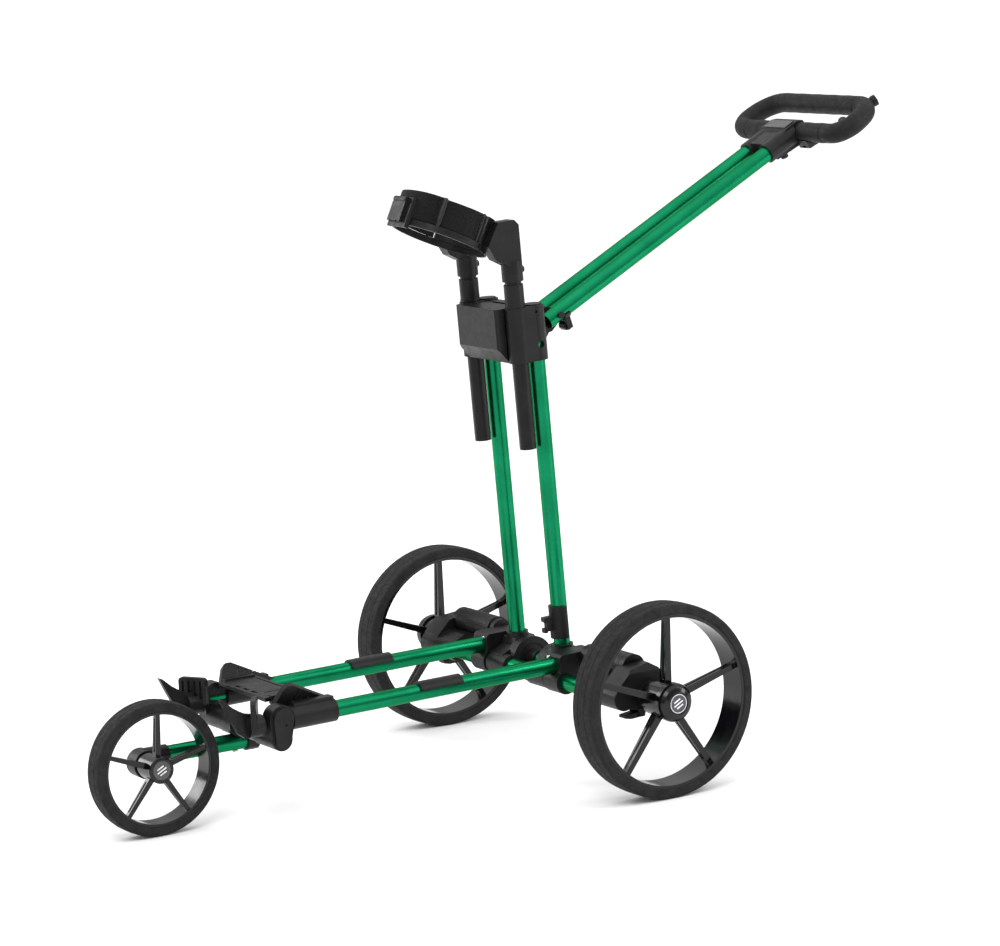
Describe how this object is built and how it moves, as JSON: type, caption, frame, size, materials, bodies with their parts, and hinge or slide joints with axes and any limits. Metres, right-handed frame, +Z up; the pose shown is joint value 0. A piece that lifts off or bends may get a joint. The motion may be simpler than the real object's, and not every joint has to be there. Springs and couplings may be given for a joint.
{
  "type": "golf push cart",
  "caption": "Folding three-wheeled golf bag push cart: green twin-tube frame, spoked foam-tyred wheels, sliding bag cradle with a strap, folding mast and a tilting loop handle.",
  "frame": {"origin": "on the ground, midway between the wheels across the cart and midway along its overall length", "axes": "+Z up; the front wheel points to -Y and the handle to +Y; +X is the user's right when pushing"},
  "size_m": [0.711, 1.3586, 0.9864],
  "materials": {
    "anodised_green": "satin anodised",
    "black_plastic": "fine grained moulding",
    "gloss_black": "smooth, slightly glossy",
    "tyre_foam": "matte foam tread with fine grooves",
    "grip_foam": "matte closed-cell foam",
    "webbing": "woven webbing",
    "black_tube": "satin black coating",
    "steel": "bright zinc plate",
    "badge_grey": "smooth dark grey, blank"
  },
  "bodies": {
    "base": {"lower_tube_right": "anodised_green", "lower_tube_left": "anodised_green", "rear_hub_right": "black_plastic", "rear_hub_left": "black_plastic", "axle_tube": "anodised_green", "carrier_right": "black_plastic", "carrier_left": "black_plastic", "canisters": "black_plastic", "wheel_axles": "steel", "base_clamp_right": "black_plastic", "base_clamp_left": "black_plastic", "front_cross_tube": "anodised_green", "base_bridge": "black_plastic", "wing_pads": "black_plastic", "bumper_pads": "black_plastic", "frame_screws": "steel"},
    "release_lever_right": {"release_lever_right": "black_plastic"},
    "release_lever_left": {"release_lever_left": "black_plastic"},
    "horn_right": {"horn_right": "black_plastic"},
    "horn_left": {"horn_left": "black_plastic"},
    "front_fork": {"fork_knuckle": "black_plastic", "fork_tube": "anodised_green", "fork_hub": "black_plastic", "front_axle": "steel", "fork_bolt": "steel"},
    "front_wheel": {"front_tyre": "tyre_foam", "front_rim": "gloss_black", "front_cap": "gloss_black", "front_bearings": "steel"},
    "rear_wheel_right": {"rear_tyre_right": "tyre_foam", "rear_rim_right": "gloss_black", "rear_cap_right": "gloss_black", "rear_bearings_right": "steel"},
    "rear_wheel_left": {"rear_tyre_left": "tyre_foam", "rear_rim_left": "gloss_black", "rear_cap_left": "gloss_black", "rear_bearings_left": "steel"},
    "mast": {"mast_foot_right": "black_plastic", "mast_foot_left": "black_plastic", "mast_tie_tube": "anodised_green", "mast_tube_right": "anodised_green", "mast_tube_left": "anodised_green", "transport_clip": "black_plastic", "mast_block": "black_plastic", "block_cover": "black_plastic", "slide_collars": "black_plastic"},
    "bag_slide": {"posts": "black_tube", "bag_cradle": "black_plastic", "bag_strap": "webbing", "strap_liner": "black_plastic", "strap_buckle": "black_plastic"},
    "handle": {"handle_tube_right": "anodised_green", "handle_tube_left": "anodised_green", "handle_pin": "black_plastic", "handle_head": "black_plastic", "badge_plate": "badge_grey", "grip": "grip_foam", "grip_stub": "black_plastic", "knob_bracket": "black_plastic"},
    "clamp_knob": {"handle_knob": "black_plastic"}
  },
  "joints": [
    {"name": "mast_fold", "type": "hinge", "parent": "base", "child": "mast", "pos_m": [0, 0.0527, 0.1455], "axis": [1, 0, 0], "range_deg": [0, 70]},
    {"name": "bag_height", "type": "slide", "parent": "mast", "child": "bag_slide", "axis": [0, -0.0523, 0.9986], "range_m": [0, 0.12]},
    {"name": "handle_tilt", "type": "hinge", "parent": "mast", "child": "handle", "pos_m": [0, 0.1247, 0.6887], "axis": [1, 0, 0], "range_deg": [-105, 15]},
    {"name": "clamp_turn", "type": "hinge", "parent": "handle", "child": "clamp_knob", "pos_m": [0, 0.14232, 0.67029], "axis": [1, 0, 0], "continuous": true},
    {"name": "fork_fold", "type": "hinge", "parent": "base", "child": "front_fork", "pos_m": [0, -0.4293, 0.135], "axis": [1, 0, 0], "range_deg": [0, 108]},
    {"name": "front_wheel_spin", "type": "hinge", "parent": "front_fork", "child": "front_wheel", "pos_m": [0, -0.5803, 0.099], "axis": [1, 0, 0], "continuous": true},
    {"name": "rear_wheel_spin_right", "type": "hinge", "parent": "base", "child": "rear_wheel_right", "pos_m": [0, 0.0967, 0.145], "axis": [1, 0, 0], "continuous": true},
    {"name": "rear_wheel_spin_left", "type": "hinge", "parent": "base", "child": "rear_wheel_left", "pos_m": [0, 0.0967, 0.145], "axis": [1, 0, 0], "continuous": true},
    {"name": "horn_fold_right", "type": "hinge", "parent": "base", "child": "horn_right", "pos_m": [0.096, -0.4483, 0.158], "axis": [0, -1, 0], "range_deg": [0, 90]},
    {"name": "horn_fold_left", "type": "hinge", "parent": "base", "child": "horn_left", "pos_m": [-0.096, -0.4483, 0.158], "axis": [0, 1, 0], "range_deg": [0, 90]},
    {"name": "release_right", "type": "hinge", "parent": "base", "child": "release_lever_right", "pos_m": [0.259, 0.0887, 0.117], "axis": [1, 0, 0], "range_deg": [0, 20], "stiffness_Nm_per_rad": 0.3, "springref_deg": -11.46},
    {"name": "release_left", "type": "hinge", "parent": "base", "child": "release_lever_left", "pos_m": [-0.259, 0.0887, 0.117], "axis": [1, 0, 0], "range_deg": [0, 20], "stiffness_Nm_per_rad": 0.3, "springref_deg": -11.46}
  ]
}
